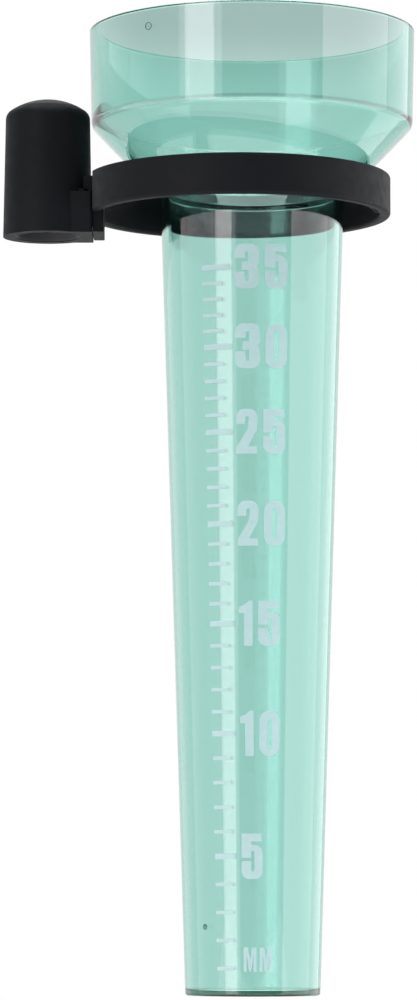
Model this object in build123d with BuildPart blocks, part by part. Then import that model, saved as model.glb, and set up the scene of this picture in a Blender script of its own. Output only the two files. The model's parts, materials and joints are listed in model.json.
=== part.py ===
"""Manual rain gauge: a clear one-piece funnel and measuring tube that sits in a ring on a pole cap.

Millimetres, +Z up. The origin is the centre of the pole socket's mouth, and the gauge hangs at +X.
Three mouldings come apart by hand. The gauge vessel lifts out of the ring holder, and the holder's
curved saddle lifts out of the pocket on the pole cap. The printed scale is its own set of solids.
"""

import os
from math import asin, cos, degrees, radians, sin, sqrt

from build123d import *

os.makedirs("parts", exist_ok=True)

# Driving dimensions of the gauge vessel, heights counted from the underside of its foot
MOUTH_R = 38.1
SHOULDER_R = 37.6
TUBE_TOP_R = 21.45
FOOT_R = 15.6
TUBE_LENGTH = 185.5
CONE_HEIGHT = 16.8
RIM_HEIGHT = 224.8
FUNNEL_WALL = 2.1
BORE_FOOT_R = 13.775
BORE_TAPER = 0.032
FLOOR = 1.3
RIM_ROUND = 0.6
SHOULDER_ROUND = 2.0
INNER_SHOULDER_ROUND = 0.7
NECK_ROUND = 0.8
INNER_NECK_ROUND = 1.0
FOOT_ROUND = 0.7
CAVITY_ROUND = 0.5

# Driving dimensions of the ring holder. The ring is set towards the cap from the vessel's axis
VESSEL_X = 47.8
RING_X = 44.55
RING_R = 35.6
RING_BAND = 2.6
RING_BOTTOM = 4.8
RING_TOP = 14.2
RING_ROUND = 0.7
RIB_COUNT = 3
RIB_THICKNESS = 1.8
RIB_TOP = 13.7
RIB_FOOT = 5.9
RIB_HEEL_R = 29.0
RIB_TIP_R = 23.6
RIB_TIP_DEPTH = 0.9
SEAT_TOP_R = 26.0
SEAT_GAP = 0.3
ARM_START = 10.7
ARM_REACH = 13.2
ARM_HALF_WIDTH = 7.0
ARM_BOTTOM = 0.3
ARM_ROUND = 0.5

# Driving dimensions of the saddle on the holder, which hugs the pole cap
SADDLE_R = 11.3
SADDLE_WALL = 0.95
SADDLE_HALF_WIDTH = 7.3
SADDLE_TOP = 10.4
NECK_HALF_WIDTH = 6.0
NECK_TOP = 13.6
SLIDE_GAP = 0.1

# Driving dimensions of the pole cap and the pocket in its boss
CAP_R = 10.4
CAP_SHOULDER_R = 9.85
CAP_SHOULDER_Z = 28.9
CAP_HEIGHT = 32.4
CAP_ROUND = 2.4
DOME_MIDDLE = 18
SOCKET_R = 7.4
SOCKET_DEPTH = 27.0
SOCKET_END_ROUND = 1.2
EDGE_BREAK = 0.3
BOSS_END = 10.55
BOSS_HALF_WIDTH = 8.6
BOSS_HEIGHT = 9.6
BOSS_ROUND = 0.6
POCKET_INNER_R = 10.2
POCKET_FLOOR = 1.2

# Driving dimensions of the printed scale
INK = 0.12
NUMERAL_HEIGHT = 10.3
UNIT_HEIGHT = 5.5
TOP_MARK = 35
LONG_LINE = 1.25
SHORT_LINE = 0.8
LINE_START_LOW = -31.4
LINE_START_HIGH = -34.0
LONG_LINE_END = -14.6
SHORT_LINE_END_LOW = -16.5
SHORT_LINE_END_HIGH = -20.0
NUMERAL_START_LOW = -9.2
NUMERAL_START_HIGH = -12.0
UNIT_START = -8.0
UNIT_MARK_HEIGHT = 8.4
DIGIT_GAP = 0.12
FIXED_WIDTH = 0.4
PRINT_REACH = 2

# Derived sizes of the vessel
CONE_TOP = TUBE_LENGTH + CONE_HEIGHT
CONE_SLOPE = CONE_HEIGHT / (SHOULDER_R - TUBE_TOP_R)
TUBE_SLOPE = (TUBE_TOP_R - FOOT_R) / TUBE_LENGTH
MOUTH_INNER_R = MOUTH_R - FUNNEL_WALL
SHOULDER_INNER_R = SHOULDER_R - FUNNEL_WALL
CONE_WALL_ACROSS = FUNNEL_WALL * sqrt(1 + 1 / CONE_SLOPE**2)
SEAT_CONTACT = TUBE_LENGTH + (SEAT_TOP_R - TUBE_TOP_R) * CONE_SLOPE
FOOT_Z = RIB_TOP - SEAT_CONTACT + SEAT_GAP
VESSEL_AXIS = Axis((VESSEL_X, 0, 0), (0, 0, 1))
RING_AXIS = Axis((RING_X, 0, 0), (0, 0, 1))


def inner_cone_height(radius):
    """Height at which the funnel's inner cone has this radius."""
    return TUBE_LENGTH + (radius - TUBE_TOP_R + CONE_WALL_ACROSS) * CONE_SLOPE


def tube_radius(height):
    """Outer radius of the measuring tube at a height above the foot."""
    return FOOT_R + TUBE_SLOPE * height


def rain_height(depth):
    """Height above the foot reached by this many millimetres of rain in the tapered tube."""
    cubed = BORE_FOOT_R**3 + 3 * BORE_TAPER * MOUTH_INNER_R**2 * depth
    return (cubed ** (1 / 3) - BORE_FOOT_R) / BORE_TAPER


def mark_height(depth):
    """The scale is exact at each multiple of five and divided evenly between them."""
    below = 5 * (depth // 5)
    low, high = rain_height(below), rain_height(below + 5)
    return low + (high - low) * (depth - below) / 5


def between(low, high, height):
    """A value that changes evenly from the lowest mark to the highest."""
    share = (height - mark_height(5)) / (mark_height(TOP_MARK) - mark_height(5))
    return low + (high - low) * share


# Gauge vessel: funnel, cone and closed tube in one revolved wall
vessel_plane = Plane(VESSEL_AXIS.position + (0, 0, FOOT_Z), x_dir=(1, 0, 0), z_dir=(0, -1, 0))
neck_inner_r = BORE_FOOT_R + BORE_TAPER * TUBE_LENGTH
neck_inner_height = inner_cone_height(neck_inner_r)

with BuildPart() as gauge_vessel:
    with BuildSketch(vessel_plane) as vessel_wall:
        with BuildLine():
            Polyline(
                (0, 0),
                (FOOT_R, 0),
                (TUBE_TOP_R, TUBE_LENGTH),
                (SHOULDER_R, CONE_TOP),
                (MOUTH_R, RIM_HEIGHT),
                (MOUTH_INNER_R, RIM_HEIGHT),
                (SHOULDER_INNER_R, inner_cone_height(SHOULDER_INNER_R)),
                (neck_inner_r, neck_inner_height),
                (BORE_FOOT_R + BORE_TAPER * FLOOR, FLOOR),
                (0, FLOOR),
                close=True,
            )
        make_face()
        corners = vessel_wall.vertices().sort_by(Axis.Y)
        rim = corners[-2:]
        inner_shoulder, outer_shoulder = corners[-3], corners[-4]
        inner_neck, outer_neck = corners[-5], corners[-6]
        foot_corner = corners[:2].sort_by(Axis.X)[-1]
        cavity_corner = corners[2:4].sort_by(Axis.X)[-1]
        fillet(rim, RIM_ROUND)
        fillet(outer_shoulder, SHOULDER_ROUND)
        fillet(inner_shoulder, INNER_SHOULDER_ROUND)
        fillet(outer_neck, NECK_ROUND)
        fillet(inner_neck, INNER_NECK_ROUND)
        fillet(foot_corner, FOOT_ROUND)
        fillet(cavity_corner, CAVITY_ROUND)
    revolve(axis=VESSEL_AXIS)
gauge_vessel.part.label = "gauge_vessel"
export_step(gauge_vessel.part, "parts/gauge_vessel.step")


# Ribs inside the ring: their sloping ends are the seat for the funnel's cone
seat_plane = Plane(VESSEL_AXIS.position, x_dir=(1, 0, 0), z_dir=(0, -1, 0))
rib_tip_z = RIB_TOP - (SEAT_TOP_R - RIB_TIP_R) * CONE_SLOPE

with BuildPart() as ribs:
    with BuildSketch(seat_plane):
        with BuildLine():
            Polyline(
                (RIB_TIP_R, rib_tip_z),
                (SEAT_TOP_R, RIB_TOP),
                (RING_R, RIB_TOP),
                (RING_R, RIB_FOOT),
                (RIB_HEEL_R, RIB_FOOT),
                (RIB_TIP_R, rib_tip_z - RIB_TIP_DEPTH),
                close=True,
            )
        make_face()
    revolve(axis=VESSEL_AXIS)
    with BuildSketch(Plane.XY):
        with Locations((VESSEL_X, 0)):
            with PolarLocations(RING_R / 2, RIB_COUNT):
                Rectangle(RING_R, RIB_THICKNESS)
    extrude(amount=RING_TOP, mode=Mode.INTERSECT)
    with BuildSketch(Plane.XY):
        with Locations((RING_X, 0)):
            Circle(RING_R - RING_BAND / 2)
    extrude(amount=RING_TOP, mode=Mode.INTERSECT)

# Ring holder: the band, cut flat in front of the cap, with its arm and saddle
ring_plane = Plane(RING_AXIS.position, x_dir=(1, 0, 0), z_dir=(0, -1, 0))

with BuildPart() as ring_holder:
    with BuildSketch(ring_plane):
        with Locations((RING_R - RING_BAND / 2, (RING_BOTTOM + RING_TOP) / 2)):
            RectangleRounded(RING_BAND, RING_TOP - RING_BOTTOM, RING_ROUND)
    revolve(axis=RING_AXIS)
    add(ribs.part)
    with BuildSketch(Plane.XY):
        with Locations((ARM_START, 0)):
            Rectangle(RING_R, 2 * RING_R, align=(Align.MAX, Align.CENTER))
    extrude(amount=RING_TOP, mode=Mode.SUBTRACT)

    # Arm: a block as deep as the boss that closes the cut end of the band
    with BuildSketch(Plane.XY.offset(ARM_BOTTOM)):
        with Locations(((ARM_START + ARM_REACH) / 2, 0)):
            RectangleRounded(ARM_REACH - ARM_START, 2 * ARM_HALF_WIDTH, ARM_ROUND)
    extrude(amount=RING_TOP - ARM_BOTTOM)

    # Saddle that slides down between the cap's round wall and the cheeks of its boss
    with BuildSketch(Plane.XY.offset(POCKET_FLOOR + SLIDE_GAP)):
        Circle(SADDLE_R)
        Rectangle(
            SADDLE_R,
            2 * SADDLE_HALF_WIDTH,
            align=(Align.MIN, Align.CENTER),
            mode=Mode.INTERSECT,
        )
        Circle(SADDLE_R - SADDLE_WALL, mode=Mode.SUBTRACT)
    extrude(amount=SADDLE_TOP - POCKET_FLOOR - SLIDE_GAP)
    with BuildSketch(Plane.XY.offset(POCKET_FLOOR + SLIDE_GAP)):
        Rectangle(
            (ARM_START + ARM_REACH) / 2,
            2 * NECK_HALF_WIDTH,
            align=(Align.MIN, Align.CENTER),
        )
        Circle(SADDLE_R - SADDLE_WALL, mode=Mode.SUBTRACT)
    extrude(amount=NECK_TOP - POCKET_FLOOR - SLIDE_GAP)
ring_holder.part.label = "ring_holder"
export_step(ring_holder.part, "parts/ring_holder.step")


# Pole cap: domed cup over the pole, with a boss that carries the curved pocket
dome_rise = CAP_HEIGHT - CAP_SHOULDER_Z
dome_r = (CAP_SHOULDER_R**2 + dome_rise**2) / (2 * dome_rise)
dome_mid = radians(DOME_MIDDLE)

with BuildPart() as pole_cap:
    with BuildSketch(Plane.XZ) as cap_outline:
        with BuildLine():
            Polyline(
                (0, CAP_HEIGHT),
                (0, 0),
                (CAP_R, 0),
                (CAP_SHOULDER_R, CAP_SHOULDER_Z),
            )
            ThreePointArc(
                (CAP_SHOULDER_R, CAP_SHOULDER_Z),
                (dome_r * sin(dome_mid), CAP_HEIGHT - dome_r * (1 - cos(dome_mid))),
                (0, CAP_HEIGHT),
            )
        make_face()
        shoulder = cap_outline.vertices().group_by(Axis.Y)[1]
        lower_edge = cap_outline.vertices().group_by(Axis.Y)[0].sort_by(Axis.X)[-1]
        fillet(shoulder, CAP_ROUND)
        chamfer(lower_edge, EDGE_BREAK)
    revolve(axis=Axis.Z)

    with BuildSketch(Plane.XY):
        Rectangle(BOSS_END, 2 * BOSS_HALF_WIDTH, align=(Align.MIN, Align.CENTER))
    extrude(amount=BOSS_HEIGHT)
    boss_corners = edges().filter_by(Axis.Z).group_by(Axis.X)[-1]
    fillet(boss_corners, BOSS_ROUND)

    # Pocket, open at the top and towards the gauge, closed by a floor
    with BuildSketch(Plane.XY.offset(POCKET_FLOOR)):
        Circle(SADDLE_R + SLIDE_GAP)
        Rectangle(
            SADDLE_R + SLIDE_GAP,
            2 * (SADDLE_HALF_WIDTH + SLIDE_GAP),
            align=(Align.MIN, Align.CENTER),
            mode=Mode.INTERSECT,
        )
        Rectangle(
            BOSS_END + SADDLE_WALL,
            2 * (NECK_HALF_WIDTH + SLIDE_GAP),
            align=(Align.MIN, Align.CENTER),
        )
        Circle(POCKET_INNER_R, mode=Mode.SUBTRACT)
    extrude(amount=BOSS_HEIGHT, mode=Mode.SUBTRACT)

    # Blind pole socket with a broken edge at its mouth
    with BuildSketch(Plane.XZ) as socket_outline:
        with BuildLine():
            Polyline(
                (0, 0),
                (SOCKET_R + EDGE_BREAK, 0),
                (SOCKET_R, EDGE_BREAK),
                (SOCKET_R, SOCKET_DEPTH),
                (0, SOCKET_DEPTH),
                close=True,
            )
        make_face()
        socket_end = socket_outline.vertices().group_by(Axis.Y)[-1].sort_by(Axis.X)[-1]
        fillet(socket_end, SOCKET_END_ROUND)
    revolve(axis=Axis.Z, mode=Mode.SUBTRACT)
pole_cap.part.label = "pole_cap"
export_step(pole_cap.part, "parts/pole_cap.step")


# Printed scale: each mark is a film of ink on the tapered tube
def ink_band(low, high):
    """Outline, in the vessel's plane, of a film of ink on the tube between two heights."""
    with BuildSketch(vessel_plane) as outline:
        with BuildLine():
            Polyline(
                (tube_radius(low), low),
                (tube_radius(low) + INK, low),
                (tube_radius(high) + INK, high),
                (tube_radius(high), high),
                close=True,
            )
        make_face()
    return outline.sketch


def scale_line(depth, thickness, end_angle):
    """One line of the scale, from its start angle round to its end angle."""
    height = mark_height(depth)
    start_angle = between(LINE_START_LOW, LINE_START_HIGH, height)
    film = ink_band(height - thickness / 2, height + thickness / 2)
    turned = film.rotate(VESSEL_AXIS, start_angle - 90)
    return revolve(turned.faces(), axis=VESSEL_AXIS, revolution_arc=end_angle - start_angle)


with BuildPart() as long_lines:
    for depth in range(5, TOP_MARK + 1, 5):
        scale_line(depth, LONG_LINE, LONG_LINE_END)
long_lines.part.label = "long_lines"
export_step(long_lines.part, "parts/long_lines.step")

with BuildPart() as short_lines:
    for depth in range(1, TOP_MARK):
        if depth % 5:
            end = between(SHORT_LINE_END_LOW, SHORT_LINE_END_HIGH, mark_height(depth))
            scale_line(depth, SHORT_LINE, end)
short_lines.part.label = "short_lines"
export_step(short_lines.part, "parts/short_lines.step")


# Numerals: heavy condensed digits. Their outlines are in shares of the digit's height, from its
# left edge and its middle, drawn at `wide` across and `tall` up so that they narrow with the tube.
def block(wide, tall, x, y, corner=0.0, mode=Mode.ADD):
    """Rectangle between two shares across and two up, with corners rounded by a share."""
    with Locations(((x[0] + x[1]) / 2 * wide, (y[0] + y[1]) / 2 * tall)):
        if corner:
            RectangleRounded((x[1] - x[0]) * wide, (y[1] - y[0]) * tall, corner * wide, mode=mode)
        else:
            Rectangle((x[1] - x[0]) * wide, (y[1] - y[0]) * tall, mode=mode)


def outline(wide, tall, points):
    """Straight-sided face through points given in shares."""
    Polygon(*[(x * wide, y * tall) for x, y in points], align=None)


def digit_0(wide, tall):
    block(wide, tall, (0, 0.51), (-0.5, 0.5), 0.24)
    block(wide, tall, (0.207, 0.303), (-0.33, 0.33), 0.04, Mode.SUBTRACT)


def digit_1(wide, tall):
    flag = [(0.24, 0.5), (0.13, 0.41), (0, 0.36), (0, 0.225), (0.125, 0.225)]
    outline(wide, tall, [(0.33, -0.5), (0.33, 0.5), *flag, (0.125, -0.5)])


def digit_2(wide, tall):
    block(wide, tall, (0, 0.49), (-0.02, 0.5), 0.2)
    block(wide, tall, (-0.01, 0.285), (-0.05, 0.16), mode=Mode.SUBTRACT)
    block(wide, tall, (0.205, 0.285), (0.08, 0.33), 0.03, Mode.SUBTRACT)
    foot = [(0.27, -0.34), (0.48, -0.34), (0.48, -0.5), (0, -0.5), (0, -0.36)]
    outline(wide, tall, [(0.285, 0.18), (0.49, 0.18), (0.47, 0.02), *foot, (0.25, 0.03)])


def digit_3(wide, tall):
    block(wide, tall, (0, 0.56), (-0.05, 0.5), 0.19)
    block(wide, tall, (0, 0.56), (-0.5, 0.05), 0.19)
    block(wide, tall, (-0.01, 0.17), (-0.12, 0.18), mode=Mode.SUBTRACT)
    block(wide, tall, (0.165, 0.32), (0.1, 0.18), mode=Mode.SUBTRACT)
    block(wide, tall, (0.165, 0.32), (-0.12, -0.085), mode=Mode.SUBTRACT)
    block(wide, tall, (0.24, 0.32), (0.1, 0.33), 0.03, Mode.SUBTRACT)
    block(wide, tall, (0.24, 0.32), (-0.33, -0.085), 0.03, Mode.SUBTRACT)


def digit_5(wide, tall):
    block(wide, tall, (0, 0.525), (-0.5, 0.25), 0.2)
    block(wide, tall, (0, 0.24), (-0.1, 0.5))
    block(wide, tall, (0, 0.5), (0.33, 0.5))
    block(wide, tall, (-0.01, 0.25), (-0.107, -0.03), mode=Mode.SUBTRACT)
    block(wide, tall, (0.24, 0.32), (-0.33, 0.12), 0.03, Mode.SUBTRACT)


def letter_m(wide, tall):
    left_leg = [(0, -0.5), (0, 0.5), (0.22, 0.5), (0.31, 0)]
    right_leg = [(0.4, 0.5), (0.62, 0.5), (0.62, -0.5), (0.47, -0.5)]
    inside = [(0.47, 0.2), (0.36, -0.5), (0.26, -0.5), (0.15, 0.2), (0.15, -0.5)]
    outline(wide, tall, left_leg + right_leg + inside)


GLYPHS = {
    "0": (digit_0, 0.51),
    "1": (digit_1, 0.33),
    "2": (digit_2, 0.49),
    "3": (digit_3, 0.56),
    "5": (digit_5, 0.525),
    "M": (letter_m, 0.62),
}


def print_word(word, height, tall, start_angle):
    """Ink solids of a word wrapped round the tube, centred at a height, from a start angle."""
    radius = tube_radius(height)
    taper = radius / tube_radius(mark_height(TOP_MARK))
    wide = tall * (FIXED_WIDTH + (1 - FIXED_WIDTH) * taper)
    with BuildPart() as ink:
        angle = start_angle
        for letter in word:
            draw, share = GLYPHS[letter]
            half_turn = degrees(asin(share * wide / 2 / radius))
            facing = radians(angle + half_turn)
            left_edge = -share * wide / 2
            outward = Vector(sin(facing), -cos(facing), 0)
            across = Vector(cos(facing), sin(facing), 0)
            place = Vector(VESSEL_X, 0, FOOT_Z + height) + outward * radius + across * left_edge
            with BuildSketch(Plane(place, x_dir=across, z_dir=outward)):
                draw(wide, tall)
            extrude(amount=PRINT_REACH, both=True)
            angle += 2 * half_turn + degrees(DIGIT_GAP * tall / radius)
        film = ink_band(height - tall, height + tall)
        revolve(film.faces(), axis=VESSEL_AXIS, mode=Mode.INTERSECT)
    return ink.part


for depth in range(5, TOP_MARK + 1, 5):
    middle = mark_height(depth)
    start = between(NUMERAL_START_LOW, NUMERAL_START_HIGH, middle)
    numeral = print_word(str(depth), middle, NUMERAL_HEIGHT, start)
    numeral.label = f"numeral_{depth:02d}"
    export_step(numeral, f"parts/{numeral.label}.step")

unit_mark = print_word("MM", UNIT_MARK_HEIGHT, UNIT_HEIGHT, UNIT_START)
unit_mark.label = "unit_mark"
export_step(unit_mark, "parts/unit_mark.step")
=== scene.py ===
"""Looks for the manual rain gauge, in metres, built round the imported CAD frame."""

import json
import math

import bmesh
import bpy
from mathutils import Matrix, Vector


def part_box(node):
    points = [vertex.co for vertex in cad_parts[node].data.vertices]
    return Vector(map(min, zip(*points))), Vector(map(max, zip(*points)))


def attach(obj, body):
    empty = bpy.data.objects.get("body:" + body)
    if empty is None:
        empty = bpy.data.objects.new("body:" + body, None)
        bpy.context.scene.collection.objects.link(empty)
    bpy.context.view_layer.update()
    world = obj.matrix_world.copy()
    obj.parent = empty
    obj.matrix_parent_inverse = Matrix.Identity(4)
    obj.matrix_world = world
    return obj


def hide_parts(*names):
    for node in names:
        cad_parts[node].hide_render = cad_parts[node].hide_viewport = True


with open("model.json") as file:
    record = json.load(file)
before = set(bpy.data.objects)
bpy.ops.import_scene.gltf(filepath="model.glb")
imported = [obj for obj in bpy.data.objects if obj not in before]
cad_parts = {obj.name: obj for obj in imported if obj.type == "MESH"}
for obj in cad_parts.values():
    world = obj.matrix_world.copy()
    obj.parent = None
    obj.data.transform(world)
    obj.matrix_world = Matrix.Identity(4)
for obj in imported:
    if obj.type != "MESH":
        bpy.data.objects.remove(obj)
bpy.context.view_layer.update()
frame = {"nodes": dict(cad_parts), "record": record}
nodes = frame["nodes"]

# The vessel's place, read from the frame
vessel_low, vessel_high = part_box("gauge_vessel")
foot_z = vessel_low.z
rim_height = vessel_high.z - foot_z
vessel_x = (vessel_low.x + vessel_high.x) / 2

# The vessel's wall, heights counted from its foot, as in the CAD source
MOUTH_R = 0.0381
SHOULDER_R = 0.0376
TUBE_TOP_R = 0.02145
FOOT_R = 0.0156
TUBE_LENGTH = 0.1855
CONE_HEIGHT = 0.0168
FUNNEL_WALL = 0.0021
BORE_FOOT_R = 0.013775
BORE_TAPER = 0.032
FLOOR = 0.0013
INK_CLEARANCE = 0.00003

# Corner rounds of the vessel
FOOT_ROUND = 0.0007
NECK_ROUND = 0.0008
SHOULDER_ROUND = 0.0028
RIM_ROUND = 0.00025
INNER_SHOULDER_ROUND = 0.0003
INNER_NECK_ROUND = 0.001
CAVITY_ROUND = 0.0005

# Fineness of the turned mesh
TURN_STEPS = 288
ARC_STEPS = 8
ARC_SUPPORT = 0.00025
LONGEST_RUN = 0.004
ON_AXIS = 1e-7

# Moulding marks: azimuth 0 is towards the camera, positive to its right
MOULD_RING_AZIMUTH = -38.8
MOULD_RING_DROP = 0.0044
MOULD_RING_GAP = 0.00015
MOULD_RING_R = 0.00082
MOULD_RING_WIRE = 0.00013
PIN_R = 0.00016
PIN_RISE = 0.00008
GATE_AZIMUTH = -43
GATE_HEIGHT = 0.0158
GATE_GAP = 0.00002
GATE_R = 0.0007
GATE_RISE = 0.00018

# Plastics and ink
STYRENE_IOR = 1.57
BLACK_IOR = 1.5
BLACK_SPECULAR_LEVEL = 0.08
SURFACE_TINT = (0.777, 0.917, 0.891, 1)
GLINT_TINT = (1, 0.85, 0.9, 1)
DEPTH_TINT = (0.10, 0.69, 0.585, 1)
TINT_DENSITY = 200.0
BLACK_DARK = (0.0038, 0.0046, 0.0056, 1)
BLACK_LIGHT = (0.0058, 0.0068, 0.0082, 1)
# Painted light: a lighter grey inside the pole socket, out to the radius below, stands in for the light
# seen in the bore
SOCKET_PAINTED_LIGHT = (0.040, 0.0415, 0.0435, 1)
SOCKET_LIGHT_R = 0.0075
TRACE_DARK = (0.03, 0.12, 0.10, 1)
TRACE_LIGHT = (0.05, 0.17, 0.14, 1)
INK_THIN = (0.37, 0.54, 0.55, 1)
INK_FULL = (0.41, 0.58, 0.59, 1)
INK_COVER = 0.75

# Studio
WHITE = (1, 1, 1, 1)
SEEN_LIGHT_COLOUR = (1, 0.90, 0.92)
SEEN_WORLD_COLOUR = (1, 0.92, 0.93, 1)
FLOOR_DROP = 1.6
FLOOR_HALF = 20.0
FLOOR_GREY = (0.85, 0.85, 0.85, 1)
FLOOR_ROUGHNESS = 0.9
FLOOR_GLOW = 0.5
CAMERA_DISTANCE = 1.04
CAMERA_SIDE = -0.0102
CAMERA_ABOVE_FOOT = 0.019
CAMERA_TILT = 5.25
SENSOR_WIDTH = 36
FOCAL_LENGTH = 161.7


# ---------------------------------------------------------------- node helpers
def new_material(name):
    material = bpy.data.materials.new(name)
    material.use_nodes = True
    tree = material.node_tree
    tree.nodes.clear()
    output = tree.nodes.new("ShaderNodeOutputMaterial")
    shader = tree.nodes.new("ShaderNodeBsdfPrincipled")
    tree.links.new(shader.outputs["BSDF"], output.inputs["Surface"])
    return material, tree, shader, output


def noise(tree, scale, detail=2.0, stretch=(1, 1, 1)):
    """Noise texture in the object's own metres, stretched along an axis if asked."""
    place = tree.nodes.new("ShaderNodeTexCoord")
    mapping = tree.nodes.new("ShaderNodeMapping")
    mapping.inputs["Scale"].default_value = stretch
    texture = tree.nodes.new("ShaderNodeTexNoise")
    texture.inputs["Scale"].default_value = scale
    texture.inputs["Detail"].default_value = detail
    tree.links.new(place.outputs["Object"], mapping.inputs["Vector"])
    tree.links.new(mapping.outputs["Vector"], texture.inputs["Vector"])
    return texture


def map_range(tree, value, start, end, low, high):
    """A node that takes the value's run from start to end over to low to high."""
    spread = tree.nodes.new("ShaderNodeMapRange")
    spread.inputs["From Min"].default_value = start
    spread.inputs["From Max"].default_value = end
    spread.inputs["To Min"].default_value = low
    spread.inputs["To Max"].default_value = high
    tree.links.new(value, spread.inputs["Value"])
    return spread


def between(tree, texture, low, high):
    """The middle of the texture's range spread from low to high."""
    return map_range(tree, texture.outputs["Fac"], 0.3, 0.7, low, high).outputs["Result"]


def blend_by(tree, direction, axis, start, end, low, high):
    """Goes smoothly from low to high as one axis of the view direction goes from start to end."""
    spread = map_range(tree, direction.outputs[axis], start, end, low, high)
    spread.interpolation_type = "SMOOTHSTEP"
    return spread.outputs["Result"]


def two_tones(tree, texture, dark, light, margin=0.3):
    """Colour that goes from dark to light over the middle of the texture's range."""
    ramp = tree.nodes.new("ShaderNodeValToRGB")
    low, high = ramp.color_ramp.elements
    low.position, high.position = margin, 1 - margin
    low.color, high.color = dark, light
    tree.links.new(texture.outputs["Fac"], ramp.inputs["Fac"])
    return ramp.outputs["Color"]


def bump(tree, shader, texture, distance, strength):
    relief = tree.nodes.new("ShaderNodeBump")
    relief.inputs["Distance"].default_value = distance
    relief.inputs["Strength"].default_value = strength
    tree.links.new(texture.outputs["Fac"], relief.inputs["Height"])
    tree.links.new(relief.outputs["Normal"], shader.inputs["Normal"])


def painted_socket_light_mask(tree):
    """Mask of the painted socket light: 1 within the pole socket's radius of the pole's axis, 0
    elsewhere.
    """
    place = tree.nodes.new("ShaderNodeTexCoord")
    level = tree.nodes.new("ShaderNodeVectorMath")
    level.operation = "MULTIPLY"
    level.inputs[1].default_value = (1, 1, 0)
    reach = tree.nodes.new("ShaderNodeVectorMath")
    reach.operation = "LENGTH"
    within = tree.nodes.new("ShaderNodeMath")
    within.operation = "LESS_THAN"
    within.inputs[1].default_value = SOCKET_LIGHT_R
    tree.links.new(place.outputs["Object"], level.inputs[0])
    tree.links.new(level.outputs["Vector"], reach.inputs[0])
    tree.links.new(reach.outputs["Value"], within.inputs[0])
    return within.outputs["Value"]


# ---------------------------------------------------------------- materials
def clear_teal():
    """Polished clear styrene: the tint comes partly from its depth and partly from its surface."""
    material, tree, shader, output = new_material("clear_teal_plastic")
    shader.inputs["Base Color"].default_value = SURFACE_TINT
    shader.inputs["Transmission Weight"].default_value = 1.0
    shader.inputs["IOR"].default_value = STYRENE_IOR
    shader.inputs["Specular Tint"].default_value = GLINT_TINT
    polish = noise(tree, 60, detail=3)
    tree.links.new(between(tree, polish, 0.01, 0.045), shader.inputs["Roughness"])
    flow = noise(tree, 45, detail=1, stretch=(1, 1, 0.12))
    bump(tree, shader, flow, distance=0.0002, strength=0.12)
    tint = tree.nodes.new("ShaderNodeVolumeAbsorption")
    tint.inputs["Color"].default_value = DEPTH_TINT
    tint.inputs["Density"].default_value = TINT_DENSITY
    tree.links.new(tint.outputs["Volume"], output.inputs["Volume"])
    return material


def black_satin():
    """Black moulded plastic with a fine eroded texture, and painted light inside the pole socket: a
    lighter grey that stands in for the light seen in the bore.
    """
    material, tree, shader, _ = new_material("black_plastic")
    shader.inputs["IOR"].default_value = BLACK_IOR
    shader.inputs["Specular IOR Level"].default_value = BLACK_SPECULAR_LEVEL
    outer_skin = two_tones(tree, noise(tree, 35, detail=3), BLACK_DARK, BLACK_LIGHT)
    # Painted light: the lighter socket grey is mixed in over the black within the pole socket
    tone_with_socket_light = tree.nodes.new("ShaderNodeMix")
    tone_with_socket_light.data_type = "RGBA"
    factor, first, second = tone_with_socket_light.inputs[0], tone_with_socket_light.inputs[6], tone_with_socket_light.inputs[7]
    second.default_value = SOCKET_PAINTED_LIGHT
    tree.links.new(painted_socket_light_mask(tree), factor)
    tree.links.new(outer_skin, first)
    tree.links.new(tone_with_socket_light.outputs[2], shader.inputs["Base Color"])
    tree.links.new(between(tree, noise(tree, 400), 0.50, 0.62), shader.inputs["Roughness"])
    bump(tree, shader, noise(tree, 3200), distance=0.00003, strength=0.5)
    return material


def teal_trace():
    """Moulding traces on the clear plastic, which read as darker lines of the same colour."""
    material, tree, shader, _ = new_material("teal_trace")
    shader.inputs["IOR"].default_value = STYRENE_IOR
    tone = noise(tree, 3000)
    tree.links.new(two_tones(tree, tone, TRACE_DARK, TRACE_LIGHT), shader.inputs["Base Color"])
    tree.links.new(between(tree, tone, 0.12, 0.3), shader.inputs["Roughness"])
    return material


def scale_ink():
    """Bluish white screen print, slightly uneven where the film is thin."""
    material, tree, shader, _ = new_material("scale_ink")
    cover = two_tones(tree, noise(tree, 900, detail=3), INK_THIN, INK_FULL, margin=0.25)
    tree.links.new(cover, shader.inputs["Base Color"])
    shader.inputs["Alpha"].default_value = INK_COVER
    tree.links.new(between(tree, noise(tree, 700), 0.4, 0.55), shader.inputs["Roughness"])
    bump(tree, shader, noise(tree, 2500, detail=1), distance=0.00001, strength=0.4)
    return material


# ---------------------------------------------------------------- mesh helpers
def linked(name, data):
    """A new object in the scene that shows the data."""
    item = bpy.data.objects.new(name, data)
    bpy.context.scene.collection.objects.link(item)
    return item


def finished_piece(name, shape, material):
    """Smooth-shaded object made from a bmesh, which is used up."""
    bmesh.ops.recalc_face_normals(shape, faces=shape.faces)
    mesh = bpy.data.meshes.new(name)
    shape.to_mesh(mesh)
    shape.free()
    mesh.materials.append(material)
    mesh.shade_smooth()
    return linked(name, mesh)


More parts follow.
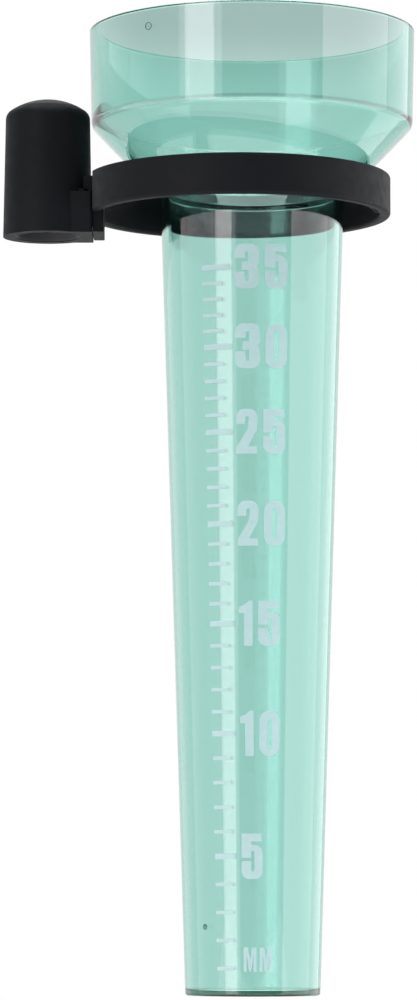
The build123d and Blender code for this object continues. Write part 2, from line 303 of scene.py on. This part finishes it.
def rounded_profile(corners):
    """Outline through (radius, height, corner round) with each corner turned into an arc.

    A support point just outside each arc keeps the straight runs flat under smooth shading.
    """
    outline = []
    for i, (x, z, turn) in enumerate(corners):
        here = Vector((x, z))
        if turn == 0 or i in (0, len(corners) - 1):
            outline.append(here)
            continue
        before = (Vector(corners[i - 1][:2]) - here).normalized()
        after = (Vector(corners[i + 1][:2]) - here).normalized()
        half = before.angle(after) / 2
        reach = turn / math.tan(half)
        centre = here + (before + after).normalized() * turn / math.sin(half)
        start, end = here + before * reach - centre, here + after * reach - centre
        outline.append(centre + start + before * ARC_SUPPORT)
        for step in range(ARC_STEPS + 1):
            share = step / ARC_STEPS
            outline.append(centre + start.slerp(end, share).normalized() * turn)
        outline.append(centre + end + after * ARC_SUPPORT)
    return outline


def refined(outline, longest):
    """The outline with extra points so that no run is longer than asked."""
    points = [outline[0]]
    for end in outline[1:]:
        start = points[-1].copy()
        pieces = max(1, math.ceil((end - start).length / longest))
        points += [start.lerp(end, (k + 1) / pieces) for k in range(pieces)]
    return points


def bridge(shape, low, high):
    """Faces between two closed rows of points, either of which may be a single point."""
    steps = max(len(low), len(high))
    for step in range(steps):
        following = (step + 1) % steps
        if len(low) == 1:
            shape.faces.new((low[0], high[following], high[step]))
        elif len(high) == 1:
            shape.faces.new((low[step], low[following], high[0]))
        else:
            shape.faces.new((low[step], low[following], high[following], high[step]))


def lathe(name, outline, centre, material):
    """Closed turned solid. The outline runs from the axis back to the axis."""
    shape = bmesh.new()
    rings = []
    for point in outline:
        if point.x < ON_AXIS:
            rings.append([shape.verts.new((centre.x, centre.y, centre.z + point.y))])
            continue
        ring = []
        for step in range(TURN_STEPS):
            turn = 2 * math.pi * step / TURN_STEPS
            place = (point.x * math.cos(turn), point.x * math.sin(turn), point.y)
            ring.append(shape.verts.new(centre + Vector(place)))
        rings.append(ring)
    for low, high in zip(rings, rings[1:]):
        bridge(shape, low, high)
    return finished_piece(name, shape, material)


# ---------------------------------------------------------------- gauge vessel
def inner_cone_height(radius):
    slope = CONE_HEIGHT / (SHOULDER_R - TUBE_TOP_R)
    across = FUNNEL_WALL * math.sqrt(1 + 1 / slope**2)
    return TUBE_LENGTH + (radius - TUBE_TOP_R + across) * slope


def make_vessel(material):
    shoulder_inner_r = SHOULDER_R - FUNNEL_WALL
    neck_inner_r = BORE_FOOT_R + BORE_TAPER * TUBE_LENGTH
    outline = rounded_profile(
        [
            (0, 0, 0),
            (FOOT_R - INK_CLEARANCE, 0, FOOT_ROUND),
            (TUBE_TOP_R - INK_CLEARANCE, TUBE_LENGTH, NECK_ROUND),
            (SHOULDER_R, TUBE_LENGTH + CONE_HEIGHT, SHOULDER_ROUND),
            (MOUTH_R, rim_height, RIM_ROUND),
            (MOUTH_R - FUNNEL_WALL, rim_height, RIM_ROUND),
            (shoulder_inner_r, inner_cone_height(shoulder_inner_r), INNER_SHOULDER_ROUND),
            (neck_inner_r, inner_cone_height(neck_inner_r), INNER_NECK_ROUND),
            (BORE_FOOT_R + BORE_TAPER * FLOOR, FLOOR, CAVITY_ROUND),
            (0, FLOOR, 0),
        ]
    )
    foot_centre = Vector((vessel_x, 0, foot_z))
    vessel = lathe("gauge_vessel_clear", refined(outline, LONGEST_RUN), foot_centre, material)
    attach(vessel, "vessel")
    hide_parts("gauge_vessel")


def outside_point(azimuth, height, radius, gap):
    """A place just outside the vessel, with the two directions of the surface there."""
    turn = math.radians(azimuth)
    outward = Vector((math.sin(turn), -math.cos(turn), 0))
    across = Vector((math.cos(turn), math.sin(turn), 0))
    centre = Vector((vessel_x, 0, foot_z + height)) + outward * (radius + gap)
    return centre, across, Vector((0, 0, 1))


def add_ring(shape, centre, across, up, radius, wire, steps=32, sides=8):
    """A thin raised ring, lying in the plane of two directions."""
    outward = across.cross(up)
    hoops = []
    for step in range(steps):
        turn = 2 * math.pi * step / steps
        spoke = across * math.cos(turn) + up * math.sin(turn)
        hoop = []
        for side in range(sides):
            lean = 2 * math.pi * side / sides
            place = centre + spoke * (radius + wire * math.cos(lean)) + outward * wire * math.sin(lean)
            hoop.append(shape.verts.new(place))
        hoops.append(hoop)
    for here, following in zip(hoops, hoops[1:] + hoops[:1]):
        bridge(shape, here, following)


def add_pip(shape, centre, across, up, radius, rise, steps=24, levels=6):
    """A low closed dome, as a gate leaves."""
    outward = across.cross(up)
    rows = []
    for level in range(levels):
        lean = math.pi / 2 * level / levels
        row = []
        for step in range(steps):
            turn = 2 * math.pi * step / steps
            spoke = across * math.cos(turn) + up * math.sin(turn)
            place = centre + spoke * radius * math.cos(lean) + outward * rise * math.sin(lean)
            row.append(shape.verts.new(place))
        rows.append(row)
    rows.append([shape.verts.new(centre + outward * rise)])
    shape.faces.new(list(reversed(rows[0])))
    for low, high in zip(rows, rows[1:]):
        bridge(shape, low, high)


def make_mould_marks(material):
    """Mould ring with its pin near the rim, and the trace of the gate low on the tube."""
    shape = bmesh.new()
    lean_out = (MOUTH_R - SHOULDER_R) / (rim_height - TUBE_LENGTH - CONE_HEIGHT)
    wall_r = MOUTH_R - lean_out * MOULD_RING_DROP
    spot = outside_point(MOULD_RING_AZIMUTH, rim_height - MOULD_RING_DROP, wall_r, MOULD_RING_GAP)
    add_ring(shape, *spot, radius=MOULD_RING_R, wire=MOULD_RING_WIRE)
    add_pip(shape, *spot, radius=PIN_R, rise=PIN_RISE)
    gate_wall_r = FOOT_R + (TUBE_TOP_R - FOOT_R) * GATE_HEIGHT / TUBE_LENGTH
    gate = outside_point(GATE_AZIMUTH, GATE_HEIGHT, gate_wall_r, GATE_GAP)
    add_pip(shape, *gate, radius=GATE_R, rise=GATE_RISE)
    marks = finished_piece("mould_marks", shape, material)
    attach(marks, "vessel")


def finish_cad_nodes(materials):
    """Carried-over CAD nodes keep their shape and take their detailed material."""
    for part in frame["record"]["subparts"]:
        node = nodes[part["node"]]
        node.data.materials.clear()
        node.data.materials.append(materials[part["material_slot"]])


# ---------------------------------------------------------------- studio
def area_light(name, azimuth, distance, size, radiance, elevation=0.0, level=0.0, seen_through=False):
    """Soft box round the gauge: azimuth 0 is towards the camera, positive to its right."""
    turn, lift = math.radians(azimuth), math.radians(elevation)
    aim = Vector((vessel_x, 0, level))
    out = Vector((math.sin(turn) * math.cos(lift), -math.cos(turn) * math.cos(lift), math.sin(lift)))
    lamp = bpy.data.lights.new(name, "AREA")
    lamp.shape = "RECTANGLE"
    lamp.size, lamp.size_y = size
    lamp.energy = radiance * math.pi * size[0] * size[1]
    lamp.color = SEEN_LIGHT_COLOUR if seen_through else WHITE[:3]
    box = linked(name, lamp)
    box.location = aim + out * distance
    box.rotation_mode = "QUATERNION"
    box.rotation_quaternion = (aim - box.location).to_track_quat("-Z", "Y")
    box.visible_camera = False
    box.visible_transmission = seen_through


def make_lights():
    area_light("left_strip", -37.5, distance=1.3, size=(0.48, 1.6), radiance=2.95, seen_through=True)
    area_light("left_halo", -37, distance=1.35, size=(0.75, 1.8), radiance=1.1, seen_through=True)
    area_light("left_panel", -78, distance=1.2, size=(1.2, 1.3), radiance=1.3, level=-0.5)
    area_light("left_rear", -125, distance=1.3, size=(1.0, 1.3), radiance=0.4, level=-0.5)
    area_light("right_panel", 80, distance=1.2, size=(1.4, 1.8), radiance=2.2)
    area_light("right_rear", 128, distance=1.3, size=(0.8, 1.8), radiance=1.2)
    area_light("top_panel", 0, distance=1.2, size=(1.2, 1.2), radiance=4.5, elevation=80)
    area_light("low_front", 12, distance=0.42, size=(0.5, 0.22), radiance=1.1, elevation=-52)


def seen_strength(tree, direction):
    """How bright the ground is through the plastic: full behind the gauge, a little more to the
    right of the tube, dimmer above the funnel's shoulder, and brighter again overhead."""
    horizon = blend_by(tree, direction, "Z", start=0.178, end=0.196, low=1.01, high=0.70)
    ceiling = blend_by(tree, direction, "Z", start=0.42, end=0.62, low=0.0, high=0.32)
    total = tree.nodes.new("ShaderNodeMath")
    tree.links.new(horizon, total.inputs[0])
    tree.links.new(ceiling, total.inputs[1])
    to_the_right = blend_by(tree, direction, "X", start=0.010, end=0.020, low=0.0, high=0.1)
    below_funnel = blend_by(tree, direction, "Z", start=0.14, end=0.165, low=1.0, high=0.0)
    right_side = tree.nodes.new("ShaderNodeMath")
    right_side.operation = "MULTIPLY_ADD"
    tree.links.new(to_the_right, right_side.inputs[0])
    tree.links.new(below_funnel, right_side.inputs[1])
    tree.links.new(total.outputs["Value"], right_side.inputs[2])
    return right_side.outputs["Value"]


def mix_shaders(tree, factor, first, second):
    mixer = tree.nodes.new("ShaderNodeMixShader")
    tree.links.new(factor, mixer.inputs["Fac"])
    tree.links.new(first, mixer.inputs[1])
    tree.links.new(second, mixer.inputs[2])
    return mixer.outputs["Shader"]


def make_world():
    """White for the camera, a tinted ground through the plastic, and for all other rays a room
    that is dark in front and white behind."""
    world = bpy.data.worlds.new("studio")
    bpy.context.scene.world = world
    world.use_nodes = True
    tree = world.node_tree
    tree.nodes.clear()
    place = tree.nodes.new("ShaderNodeTexCoord")
    direction = tree.nodes.new("ShaderNodeSeparateXYZ")
    tree.links.new(place.outputs["Generated"], direction.inputs["Vector"])
    path = tree.nodes.new("ShaderNodeLightPath")
    white, seen_through, room = (tree.nodes.new("ShaderNodeBackground") for _ in range(3))
    white.inputs["Color"].default_value = WHITE
    room.inputs["Color"].default_value = WHITE
    seen_through.inputs["Color"].default_value = SEEN_WORLD_COLOUR
    room_light = blend_by(tree, direction, "Y", start=-0.35, end=0.55, low=0.05, high=1.0)
    tree.links.new(seen_strength(tree, direction), seen_through.inputs["Strength"])
    tree.links.new(room_light, room.inputs["Strength"])
    room, seen_through, white = (ground.outputs["Background"] for ground in (room, seen_through, white))
    through_or_room = mix_shaders(tree, path.outputs["Is Transmission Ray"], room, seen_through)
    camera_or_rest = mix_shaders(tree, path.outputs["Is Camera Ray"], through_or_room, white)
    output = tree.nodes.new("ShaderNodeOutputWorld")
    tree.links.new(camera_or_rest, output.inputs["Surface"])


def make_floor():
    """Plain pale floor well below the hanging gauge, lit evenly from within like a light table."""
    mesh = bpy.data.meshes.new("studio_floor")
    corners = [(x * FLOOR_HALF, y * FLOOR_HALF, 0) for x, y in ((-1, -1), (1, -1), (1, 1), (-1, 1))]
    mesh.from_pydata(corners, [], [(0, 1, 2, 3)])
    material, _, shader, _ = new_material("pale_floor")
    shader.inputs["Base Color"].default_value = FLOOR_GREY
    shader.inputs["Roughness"].default_value = FLOOR_ROUGHNESS
    shader.inputs["Emission Color"].default_value = WHITE
    shader.inputs["Emission Strength"].default_value = FLOOR_GLOW
    mesh.materials.append(material)
    floor = linked("studio_floor", mesh)
    floor.location = (vessel_x, 0, foot_z - FLOOR_DROP)


def make_camera():
    """Just above the foot's level, a metre in front, tilted up to the middle of the gauge."""
    lens = bpy.data.cameras.new("camera")
    lens.sensor_width = SENSOR_WIDTH
    lens.lens = FOCAL_LENGTH
    camera = linked("camera", lens)
    camera.location = (vessel_x + CAMERA_SIDE, -CAMERA_DISTANCE, foot_z + CAMERA_ABOVE_FOOT)
    camera.rotation_euler = (math.radians(90 + CAMERA_TILT), 0, 0)
    bpy.context.scene.camera = camera


materials = {
    "clear_teal_plastic": clear_teal(),
    "black_plastic": black_satin(),
    "scale_ink": scale_ink(),
}
make_camera()
make_world()
make_floor()
make_lights()
finish_cad_nodes(materials)
make_vessel(materials["clear_teal_plastic"])
make_mould_marks(teal_trace())
# The cap stands so near the funnel that its mirror image would blacken the clear wall
nodes["pole_cap"].visible_glossy = False
bpy.context.scene.view_settings.view_transform = "Standard"
